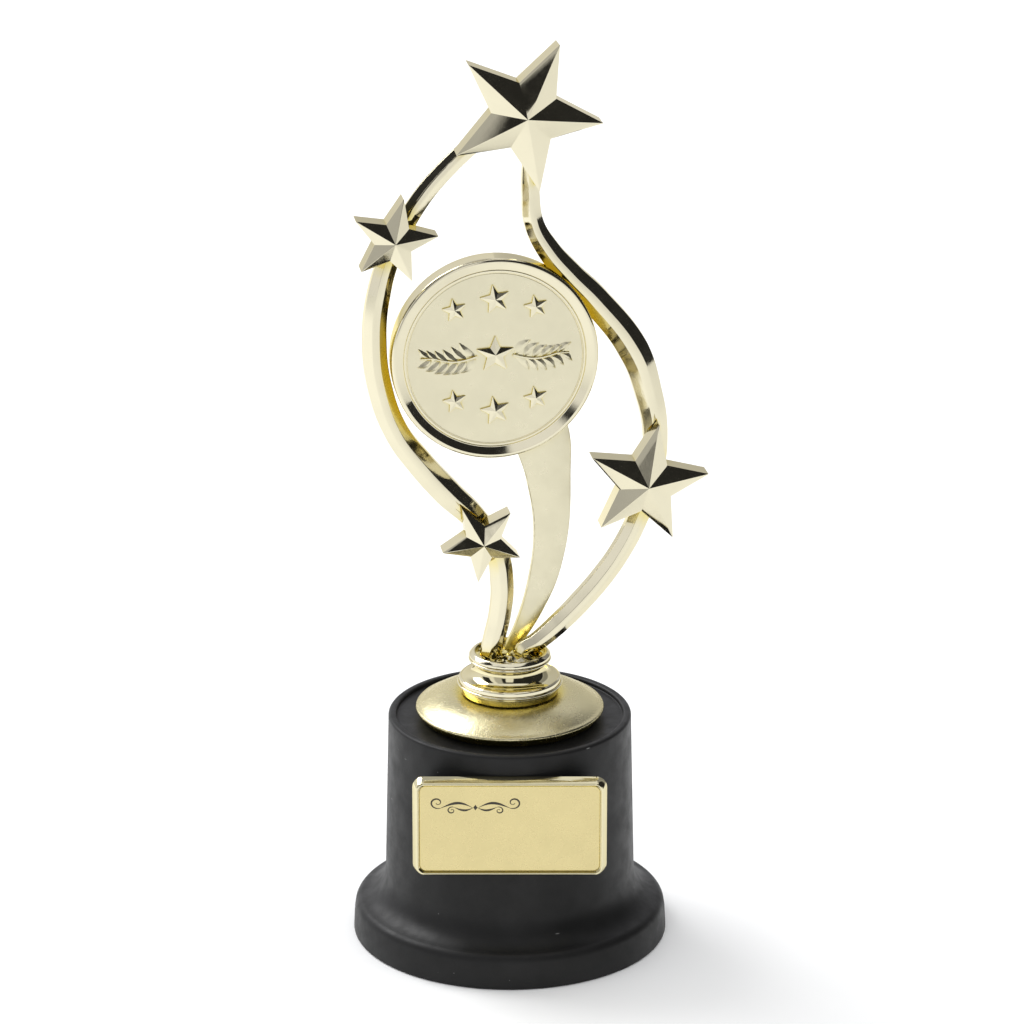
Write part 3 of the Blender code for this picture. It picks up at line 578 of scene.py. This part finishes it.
def make_collar(gold):
    """Turned collar with a lumpy cup floor: cup, bead, waist, lower ring, bead and foot."""
    profile = [(0.0, CUP_FLOOR_Z)] + [(0.6 * i, CUP_FLOOR_Z) for i in range(1, 12)]
    profile += rounded([(7.0, CUP_FLOOR_Z), (7.15, CUP_RIM_Z, 0.12), (7.7, CUP_RIM_Z, 0.45),
                        (8.36, 60.75, 0.35), (8.3, 60.22, 0.08), (8.05, 60.14)], 5)
    profile += arc((8.17, 59.85), 0.3, 80, -80, 7)
    profile += [(7.85, 59.5)]
    for i in range(1, 9):
        angle = math.radians(90.0 * i / 8)
        profile.append((WAIST_RADIUS + 0.7 * (1.0 - math.sin(angle)),
                        59.45 - 1.1 * (1.0 - math.cos(angle))))
    for i in range(1, 15):
        angle = math.radians(90.0 * i / 14)
        profile.append((WAIST_RADIUS + 2.85 * (1.0 - math.cos(angle)),
                        WAIST_Z - 2.35 * math.sin(angle)))
    profile += rounded([(10.0, 56.05), (10.42, 55.8, 0.25), (10.47, 55.05, 0.1), (10.3, 54.97)], 4)
    profile += arc((10.5, 54.7), 0.3, 80, -80, 7)
    profile += rounded([(10.3, 54.38), (10.38, 54.15, 0.1), (9.85, 52.7, 0.0), (9.3, 52.7),
                        (0.0, 52.7)], 3)
    collar = turned("collar_turning", profile, closed=False, matrix=YAW)
    pocket = [(POCKET_RADIUS * math.cos(math.radians(60.0 * k)),
               POCKET_RADIUS * math.sin(math.radians(60.0 * k))) for k in range(6)]
    rings = [[(x, y, z) for x, y in pocket] for z in (52.0, 56.4)]
    combine(collar, loft("pocket", rings, YAW), "DIFFERENCE")
    for vertex in collar.data.vertices:
        reach = math.hypot(vertex.co.x, vertex.co.y) / MM
        if reach < LUMP_RADIUS and abs(vertex.co.z / MM - CUP_FLOOR_Z) < 0.01:
            x = vertex.co.x / MM
            y = vertex.co.y / MM
            lump = math.sin(1.5 * x + 0.7 * y) * math.cos(1.2 * y - 0.5 * x)
            lump += 0.4 * math.sin(2.9 * x - 2.1 * y)
            vertex.co.z += LUMP_HEIGHT * lump * MM * (1.0 - (reach / 6.9) ** 4)
    smooth(collar, 28.0)
    hand_over(collar, "figure", "gold_bright", gold, "collar")


# ---------------------------------------------------------------- figure: stars

STAR_BACK = 1.6
STAR_DEPTH = 4.6
STAR_LIP = 0.42
STAR_LIP_RISE = 0.3
STAR_WAIST = 0.44
STAR_TIP = 0.07
STAR_CLEARANCE = 0.35

# name: (across, up, radius, turn of one tip from the vertical, peak, roundness of the facets)
STARS = {
    "star_top": (2.25, 175.6, 15.7, -25.6, 2.6, 1.15),
    "star_left": (-23.9, 151.1, 8.95, -12.8, 1.7, 1.0),
    "star_right": (27.1, 97.8, 12.9, -10.9, 2.2, 1.0),
    "star_low": (-6.4, 87.1, 8.45, 29.4, 1.6, 1.0),
}


def star_outline(radius, turn_deg, blunt):
    """Ten-sided star outline with its tips cut to small arcs."""
    corners = []
    for i in range(10):
        tip = i % 2 == 0
        reach = radius if tip else radius * STAR_WAIST
        angle = math.radians(90.0 + turn_deg + 36.0 * i)
        corners.append((reach * math.cos(angle), reach * math.sin(angle), blunt if tip else 0.0))
    return rounded(corners, 4, closed=True)


def star_mesh(name, radius, turn, back, front, lip, lip_rise, peak, puff, blunt, matrix,
              levels=6, foot=0.995):
    """Star with a drafted side wall, a raised lip and ten facets that meet in a peak."""
    outline = star_outline(radius, turn, blunt)
    edge = radius * STAR_WAIST * math.sin(math.radians(54.0))
    shrink = 1.0 - lip / edge
    rings = [[(x * foot, y * foot, back) for x, y in outline]]
    rings.append([(x, y, front - lip_rise) for x, y in outline])
    if lip > 0.0:
        rings.append([(x * (1 + shrink) / 2, y * (1 + shrink) / 2, front - lip_rise * 0.45)
                      for x, y in outline])
    for k in range(levels):
        share = 1.0 - k / levels
        height = front + peak * (1.0 - share ** puff)
        rings.append([(x * shrink * share, y * shrink * share, height) for x, y in outline])
    bm = bmesh.new()
    made = [[bm.verts.new(Vector(p) * MM) for p in ring] for ring in rings]
    top = bm.verts.new((0.0, 0.0, (front + peak) * MM))
    count = len(outline)
    for low, high in zip(made, made[1:]):
        for k in range(count):
            n = (k + 1) % count
            bm.faces.new((low[k], low[n], high[n], high[k]))
    for k in range(count):
        bm.faces.new((made[-1][k], made[-1][(k + 1) % count], top))
    bm.faces.new(list(reversed(made[0])))
    return finish_mesh(bm, name, matrix)


def make_stars(gold):
    """The four large stars."""
    for name, (across, up, radius, turn, peak, puff) in STARS.items():
        star = star_mesh(f"{name}_facets", radius, turn, STAR_BACK, STAR_BACK + STAR_DEPTH,
                         STAR_LIP, STAR_LIP_RISE, peak, puff, STAR_TIP, facing(across, up))
        smooth(star, 9.0)
        hand_over(star, "figure", "gold_bright", gold, name)


# ---------------------------------------------------------------- figure: arms and blade

# Arm stations: (across, up, section scale, section turn in degrees)
LEFT_ARM = (
    (-4.0, ROOT_Z + 0.3, 2.1), (-3.4, 63.5, 2.2), (-2.0, 69.8, 2.25), (-1.6, 76.5, 2.35),
    (-2.7, 82.9, 2.35), (-7.0, 90.2, 2.5), (-12.8, 96.3, 2.85), (-18.2, 102.7, 2.75),
    (-23.0, 109.7, 2.55), (-26.2, 118.9, 2.5), (-27.3, 129.0, 2.45), (-26.3, 139.0, 2.35),
    (-23.6, 147.5, 2.1, -4.0), (-18.5, 157.0, 1.95, -11.0), (-12.5, 164.1, 1.85, -12.0),
    (-3.6, 171.9, 1.7, -12.0),
)
RIGHT_ARM = (
    (2.6, ROOT_Z, 1.8), (2.7, 61.0, 1.8), (5.6, 62.9, 1.9), (9.9, 66.5, 2.1),
    (14.8, 71.4, 2.2), (19.1, 76.4, 2.2), (22.6, 81.4, 2.15), (26.0, 88.0, 2.15), (28.9, 97.0, 2.3),
    (29.8, 106.9, 2.5), (28.2, 116.0, 2.8), (25.0, 125.0, 3.2), (17.0, 135.8, 2.95),
    (12.0, 141.2, 2.65), (7.6, 146.7, 2.35), (4.9, 152.0, 2.0), (4.2, 158.0, 1.8),
    (4.5, 170.0, 1.7),
)
MEDAL_CENTRE = (-3.5, 125.3)
MEDAL_RADIUS = 20.75
MEDAL_CLEARANCE = 0.12
# Right half of the arm's unit section, from the front: (across, forward, corner radius)
ARM_SECTION = [(0.0, 1.05, 0.0), (0.30, 1.0, 0.10), (0.97, 0.36, 0.10), (1.0, -0.36, 0.12),
               (0.45, -0.95, 0.2), (0.0, -1.1, 0.0)]
BLADE_OUTLINE = (
    (-0.9, ROOT_Z), (1.6, 65.6), (4.5, 76.0), (5.5, 86.3), (4.0, 96.8), (1.4, 107.0),
    (2.4, 113.0), (7.0, 115.2), (11.3, 111.0), (13.0, 97.0), (11.2, 78.2), (7.0, 67.9),
    (2.1, ROOT_Z),
)
BLADE_THICKNESS = 1.6
BLADE_FRONT = 2.8
BLADE_EDGE = 0.22


def arm_section():
    """Closed curve of the arm's unit section: a narrow land, two broad facets, plain back."""
    corners = ARM_SECTION + [(-x, y, radius) for x, y, radius in reversed(ARM_SECTION[1:-1])]
    points = rounded(corners, 3, closed=True)
    data = bpy.data.curves.new("arm_section", "CURVE")
    data.dimensions = "2D"
    spline = data.splines.new("POLY")
    spline.points.add(len(points) - 1)
    for point, (x, y) in zip(spline.points, points):
        point.co = (x * MM, y * MM, 0.0, 1.0)
    spline.use_cyclic_u = True
    section = bpy.data.objects.new("arm_section", data)
    bpy.context.scene.collection.objects.link(section)
    return section


def make_arm(gold, name, stations):
    """Tapered arm, cleared round the medal and in front of each star's back."""
    section = arm_section()
    data = bpy.data.curves.new(name, "CURVE")
    data.dimensions = "3D"
    data.twist_mode = "Z_UP"
    data.resolution_u = 14
    data.bevel_mode = "OBJECT"
    data.bevel_object = section
    data.use_fill_caps = True
    smooth_spline(data, stations, False)
    curve = bpy.data.objects.new(f"{name}_sweep", data)
    bpy.context.scene.collection.objects.link(curve)
    arm = curve_mesh(curve)
    bpy.data.objects.remove(section, do_unlink=True)
    arm.data.transform(facing(0.0, 0.0))
    clear = MEDAL_RADIUS + MEDAL_CLEARANCE
    space = turned("space", [(0.0, -7.0), (clear, -7.0), (clear, 9.0), (0.0, 9.0)],
                   closed=False, steps=120, matrix=facing(*MEDAL_CENTRE))
    combine(arm, space, "DIFFERENCE")
    for across, up, radius, turn, _, _ in STARS.values():
        outline = star_outline(radius + STAR_CLEARANCE, turn, 0.0)
        rings = [[(x, y, z) for x, y in outline] for z in (STAR_BACK - 0.1, 14.0)]
        combine(arm, loft("space", rings, facing(across, up)), "DIFFERENCE")
    smooth(arm, 35.0)
    step = arm.modifiers.new("weigh", "WEIGHTED_NORMAL")
    step.keep_sharp = True
    step.weight = 90
    hand_over(arm, "figure", "gold_bright", gold, name)


def make_blade(satin):
    """Flat satin crescent with rounded edges."""
    data = bpy.data.curves.new("blade_crescent", "CURVE")
    data.dimensions = "2D"
    data.fill_mode = "BOTH"
    data.resolution_u = 16
    data.bevel_depth = BLADE_EDGE * MM
    data.bevel_resolution = 2
    data.offset = -BLADE_EDGE * MM
    data.extrude = (BLADE_THICKNESS / 2 - BLADE_EDGE) * MM
    spline = smooth_spline(data, BLADE_OUTLINE, True)
    for point in (spline.bezier_points[0], spline.bezier_points[-1]):
        point.handle_left_type = "VECTOR"
        point.handle_right_type = "VECTOR"
    curve = bpy.data.objects.new("blade_crescent", data)
    bpy.context.scene.collection.objects.link(curve)
    blade = curve_mesh(curve)
    blade.data.transform(facing(0.0, 0.0, BLADE_FRONT + BLADE_THICKNESS / 2))
    smooth(blade, 30.0)
    hand_over(blade, "figure", "gold_satin", satin, "blade")


# ---------------------------------------------------------------- figure: medal

RIM_RADIUS = 20.9
MEDAL_FRONT = 4.1
MEDAL_BACK = -2.5
FACE_RADIUS = 17.8
FACE_FRONT = 3.4
FACE_BACK = 2.6
BACK_RADIUS = 18.4
# Stars in relief, from the medal's centre: (across, up, radius, turn of one tip)
RELIEF_STARS = (
    (-8.2, 10.5, 2.5, 10.0), (0.0, 12.4, 3.1, 10.0), (8.2, 10.5, 2.5, 10.0),
    (-8.2, -8.6, 2.5, 10.0), (0.0, -10.9, 3.1, 10.0), (8.2, -8.6, 2.5, 10.0),
    (0.0, 0.9, 3.9, 0.0),
)
RELIEF_DEPTH = 0.34
SPRIG_Y = 0.6
SPRIG_SAG = 0.9
LEAF_SIZE = (4.4, 2.15, 0.32)


def make_medal_ring(gold):
    """Rolled rim with an inner slope, a fine step line and a ledge for the two discs."""
    rim = MEDAL_FRONT
    face = FACE_FRONT
    front = [(RIM_RADIUS, 0.6), (RIM_RADIUS, rim, 0.7), (20.05, rim, 0.28),
             (18.62, face + 0.1, 0.1), (18.5, face + 0.1, 0.03), (18.42, face - 0.02, 0.03),
             (18.3, face + 0.08, 0.05), (17.95, face + 0.05), (17.9, face - 0.05)]
    back = [(17.55, face - 0.1), (17.55, -1.1), (18.0, -1.4), (18.6, -1.9, 0.2),
            (19.2, MEDAL_BACK, 0.3), (19.9, MEDAL_BACK, 0.4), (20.85, -0.7, 0.8),
            (RIM_RADIUS, 0.5)]
    profile = rounded(front, 6) + rounded(back, 5)
    ring = turned("medal_rim", profile, closed=True, steps=200, matrix=facing(*MEDAL_CENTRE))
    smooth(ring, 26.0)
    hand_over(ring, "figure", "gold_bright", gold, "medal_ring")


def leaf(bm, root, heading_deg, length, width, height):
    """One laurel leaf in relief: a pointed oval with a raised midrib."""
    turn = math.radians(heading_deg)
    along = Vector((math.cos(turn), math.sin(turn), 0.0))
    side = Vector((-along.y, along.x, 0.0))
    start = Vector((root[0], root[1], 0.0))
    shares = (0.0, 0.12, 0.3, 0.5, 0.7, 0.88, 1.0)
    left, right, rib = [], [], []
    for t in shares:
        swell = math.sin(math.pi * t ** 0.85) ** 0.8
        spot = start + along * (length * t) + side * (0.12 * length * math.sin(math.pi * t))
        crest = FACE_FRONT + height * (0.35 + 0.65 * swell)
        rib.append(bm.verts.new((spot + Vector((0, 0, crest))) * MM))
        for row, sign in ((left, 1), (right, -1)):
            point = spot + side * (sign * width * 0.5 * max(swell, 0.04))
            row.append(bm.verts.new((point + Vector((0, 0, FACE_FRONT - 0.06))) * MM))
    for row in (left, right):
        for k in range(len(shares) - 1):
            bm.faces.new((row[k], row[k + 1], rib[k + 1], rib[k]))
    for k in range(len(shares) - 1):
        bm.faces.new((left[k], right[k], right[k + 1], left[k + 1]))
    bm.faces.new((left[0], rib[0], right[0]))
    bm.faces.new((left[-1], right[-1], rib[-1]))


def make_laurel(satin):
    """Two laurel sprigs in relief, either side of the medal's middle star."""
    length, width, height = LEAF_SIZE
    bm = bmesh.new()
    for sign in (1, -1):
        for i in range(6):
            t = i / 5
            x = 4.0 + 8.7 * t
            y = SPRIG_Y - SPRIG_SAG * math.sin(math.pi * t)
            grow = 6.0 * (t - 0.5)
            size = 1.0 - 0.22 * t
            for flare in (46.0, -46.0):
                heading = grow + flare * (1.0 - 0.25 * t)
                heading = heading if sign > 0 else 180.0 - heading
                leaf(bm, (sign * x, y), heading, length * size, width * size, height)
    laurel = finish_mesh(bm, "medal_laurel", facing(*MEDAL_CENTRE))
    smooth(laurel, 40.0)
    hand_over(laurel, "figure", "gold_satin", satin)
    stems = []
    for sign in (1, -1):
        line = []
        for i in range(33):
            t = i / 32
            y = SPRIG_Y - SPRIG_SAG * math.sin(math.pi * min(1.0, t * 1.28))
            line.append((sign * (3.6 + 11.4 * t), y, 0.2 - 0.12 * t))
        place = facing(*MEDAL_CENTRE) @ Matrix.Translation((0, 0, (FACE_FRONT - 0.06) * MM))
        stems.append(ribbon("stem", line, 0.4, place))
    stem = join(stems, "medal_stems")
    hand_over(stem, "figure", "gold_satin", satin)


def make_medal_face(satin, gold):
    """Satin disc with six small faceted stars and a middle one, and the plain disc behind it."""
    profile = [(0.0, FACE_BACK), (FACE_RADIUS, FACE_BACK), (FACE_RADIUS, FACE_FRONT - 0.12),
               (FACE_RADIUS - 0.15, FACE_FRONT), (0.0, FACE_FRONT)]
    face = turned("medal_disc", profile, closed=False, steps=160, matrix=facing(*MEDAL_CENTRE))
    smooth(face, 30.0)
    hand_over(face, "figure", "gold_satin", satin, "medal_face")
    stars = []
    for across, up, size, turn in RELIEF_STARS:
        place = facing(MEDAL_CENTRE[0] + across, MEDAL_CENTRE[1] + up)
        stars.append(star_mesh("relief", size, turn, FACE_FRONT - 0.1, FACE_FRONT + RELIEF_DEPTH,
                               0.0, 0.0, 0.15 * size, 1.0, 0.05, place, levels=1, foot=1.04))
    relief = join(stars, "medal_stars")
    smooth(relief, 9.0)
    hand_over(relief, "figure", "gold_bright", gold)
    profile = [(0.0, -1.5), (BACK_RADIUS, -1.5), (BACK_RADIUS, -2.05),
               (BACK_RADIUS - 0.15, -2.2), (0.0, -2.2)]
    back = turned("medal_back_disc", profile, closed=False, steps=160,
                  matrix=facing(*MEDAL_CENTRE))
    smooth(back, 30.0)
    hand_over(back, "figure", "gold_satin", satin, "medal_back")


# ---------------------------------------------------------------- studio

WHITE = (1.0, 1.0, 1.0, 1.0)
PANEL_WHITE = (0.985, 0.985, 1.02, 1.0)
AMBIENT = 0.95
BACKDROP = 1.0
KEY_SPOT = (-0.75, 0.55, 0.95)
KEY_AIM = (0.0, 0.0, 0.03)
KEY_SIZE = 0.7
KEY_POWER = 10.0
CAMERA_SPOT = (0.00046, -0.9425, 0.42754)
CAMERA_DOWN_DEG = 19.63
CAMERA_LENS = 173.64
FLOOR_HALF = 2.5
FLOOR_DROP = 0.00002

# Soft panels round the trophy: (azimuth low, high, elevation low, high, softness, level).
# Azimuth 0 is towards the camera and 90 to its right.
PANELS = (
    (-52.0, -24.0, -10.0, 62.0, 4.0, 0.54),
    (54.0, 150.0, -34.0, 6.0, 7.0, 0.66),
    (44.0, 126.0, -8.0, 8.0, 2.0, 0.03),
    (-26.0, 126.0, 5.0, 60.0, 2.5, 0.022),
    (-13.0, 12.0, -4.0, 46.0, 2.0, 0.97),
    (126.0, 150.0, -4.0, 66.0, 4.0, 0.30),
    (-97.0, -69.0, 14.0, 56.0, 1.2, 0.03),
    (150.0, 181.0, 4.0, 46.0, 6.0, 0.70),
    (-181.0, -135.0, 30.0, 72.0, 8.0, 0.52),
)


def make_world():
    """Even white light, with the studio's dark and light panels in the reflections."""
    world = bpy.data.worlds.new("studio")
    bpy.context.scene.world = world
    world.use_nodes = True
    graph = Graph(world.node_tree)
    world.node_tree.nodes.clear()
    coords = graph.add("ShaderNodeTexCoord").outputs["Generated"]
    axes = graph.add("ShaderNodeSeparateXYZ", {"Vector": coords})
    x, y, z = axes.outputs
    towards = graph.math("ARCTAN2", x, graph.math("MULTIPLY", y, -1.0))
    azimuth = graph.math("DEGREES", towards)
    elevation = graph.math("DEGREES", graph.math("ARCSINE", z))
    level = graph.ramp(elevation, -40.0, 20.0, 0.86, 0.98)
    for az_low, az_high, el_low, el_high, soft, value in PANELS:
        mask = graph.ramp(azimuth, az_low - soft, az_low + soft)
        mask = graph.math("MULTIPLY", mask, graph.ramp(azimuth, az_high + soft, az_high - soft))
        mask = graph.math("MULTIPLY", mask, graph.ramp(elevation, el_low - soft, el_low + soft))
        mask = graph.math("MULTIPLY", mask, graph.ramp(elevation, el_high + soft, el_high - soft))
        mixed = graph.add("ShaderNodeMix", {0: mask, 2: level, 3: value}, data_type="FLOAT")
        level = mixed.outputs[0]
    shades = []
    for colour, strength in ((PANEL_WHITE, level), (WHITE, AMBIENT), (WHITE, BACKDROP)):
        shade = graph.add("ShaderNodeBackground", {"Color": colour, "Strength": strength})
        shades.append(shade.outputs[0])
    glossy, even, seen = shades
    path = graph.add("ShaderNodeLightPath").outputs
    lit = graph.add("ShaderNodeMixShader", {0: path["Is Glossy Ray"], 1: even, 2: glossy})
    lit = graph.add("ShaderNodeMixShader", {0: path["Is Camera Ray"], 1: lit.outputs[0], 2: seen})
    graph.add("ShaderNodeOutputWorld", {"Surface": lit.outputs[0]})


def make_floor():
    """Plain pale floor."""
    bm = bmesh.new()
    bmesh.ops.create_grid(bm, x_segments=8, y_segments=8, size=FLOOR_HALF)
    floor = finish_mesh(bm, "floor", Matrix.Translation((0, 0, -FLOOR_DROP)))
    material, graph, shader, coords = new_material("floor_paper")
    cloud = graph.noise(coords, 6.0, 3.0)
    tint = graph.blend(cloud, (0.93, 0.935, 0.945, 1.0), (0.96, 0.965, 0.97, 1.0))
    graph.feed(shader.inputs["Base Color"], tint)
    shader.inputs["Roughness"].default_value = 0.9
    shader.inputs["Specular IOR Level"].default_value = 0.1
    floor.data.materials.append(material)


def make_key_light():
    """Soft area lamp, high at the back on the left."""
    data = bpy.data.lights.new("key", "AREA")
    data.shape = "RECTANGLE"
    data.size = KEY_SIZE
    data.size_y = KEY_SIZE
    data.energy = KEY_POWER
    lamp = bpy.data.objects.new("key", data)
    bpy.context.scene.collection.objects.link(lamp)
    lamp.location = KEY_SPOT
    aim = Vector(KEY_AIM) - Vector(KEY_SPOT)
    lamp.rotation_euler = aim.to_track_quat("-Z", "Y").to_euler()


def make_studio():
    """World, floor, lamp, camera and plain colour management."""
    make_world()
    make_floor()
    make_key_light()
    data = bpy.data.cameras.new("camera")
    data.lens = CAMERA_LENS
    data.sensor_width = 36.0
    data.clip_start = 0.05
    data.clip_end = 20.0
    camera = bpy.data.objects.new("camera", data)
    bpy.context.scene.collection.objects.link(camera)
    camera.location = CAMERA_SPOT
    camera.rotation_euler = (math.radians(90.0 - CAMERA_DOWN_DEG), 0.0, 0.0)
    bpy.context.scene.camera = camera
    bpy.context.scene.view_settings.view_transform = "Standard"
    bpy.context.scene.view_settings.look = "None"


# ---------------------------------------------------------------- main

GOLD = (0.76, 0.71, 0.53)
SATIN = (0.72, 0.675, 0.495)
PLATE_GOLD = (0.66, 0.565, 0.29)
FRAME_GOLD = (0.745, 0.685, 0.455)
DOME_GOLD = (0.70, 0.64, 0.41)
EDGE_TINT = (0.80, 0.76, 0.62, 1.0)
# Painted bounce light in the gold's hollows: its yellow, the ambient occlusion reach and its
# largest share.
PAINTED_BOUNCE_GOLD = (0.74, 0.62, 0.16, 1.0)
HOLLOW_REACH = 5.0
PAINTED_BOUNCE_SHARE = 0.85

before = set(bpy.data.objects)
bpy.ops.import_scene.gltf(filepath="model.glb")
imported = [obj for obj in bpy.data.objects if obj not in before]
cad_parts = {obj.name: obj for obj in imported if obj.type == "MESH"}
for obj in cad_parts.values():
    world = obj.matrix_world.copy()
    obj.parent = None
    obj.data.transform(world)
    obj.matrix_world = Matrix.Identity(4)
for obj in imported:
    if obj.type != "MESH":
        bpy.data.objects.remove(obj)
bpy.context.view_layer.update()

make_studio()
gold = metallised("bright_gold", GOLD, 0.045, 0.10, 1500.0, 0.0025, 0.010)
frame_gold = metallised("frame_gold", FRAME_GOLD, 0.045, 0.10, 1500.0, 0.0025, 0.010)
satin = metallised("satin_gold", SATIN, 0.27, 0.36, 3200.0, 0.010, 0.004)
grainy = metallised("grained_gold", DOME_GOLD, 0.20, 0.30, 2350.0, 0.064, 0.012)
plate_gold = metallised("plate_gold", PLATE_GOLD, 0.25, 0.31, 3600.0, 0.003, 0.001)
black = black_moulding()
ink = plain_surface("printed_ink", (0.020, 0.016, 0.010), (0.050, 0.040, 0.022),
                    0.40, 0.55, 0.0, 2400.0, 0.004)

make_base(black)
make_bezel(frame_gold)
make_plate(plate_gold, ink)
make_dome(grainy)
make_collar(gold)
make_arm(gold, "left_arm", LEFT_ARM)
make_arm(gold, "right_arm", RIGHT_ARM)
make_blade(satin)
make_medal_ring(gold)
make_medal_face(satin, gold)
make_laurel(satin)
make_stars(gold)

zinc = plain_surface("zinc_plate", (0.46, 0.47, 0.48), (0.62, 0.63, 0.64),
                     0.26, 0.44, 1.0, 1800.0, 0.006)
foam = plain_surface("foam_sheet", (0.016, 0.016, 0.016), (0.034, 0.034, 0.035),
                     0.84, 0.96, 0.0, 1400.0, 0.12)
tape = plain_surface("tape_film", (0.66, 0.66, 0.63), (0.80, 0.80, 0.77),
                     0.45, 0.65, 0.0, 900.0, 0.02)
carried = {"base_weight": zinc, "fixing_screw": zinc, "washer": zinc, "hex_nut": zinc,
           "bottom_pad": foam, "plate_tape": tape}
for node, material in carried.items():
    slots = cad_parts[node].data.materials
    slots.clear()
    slots.append(material)
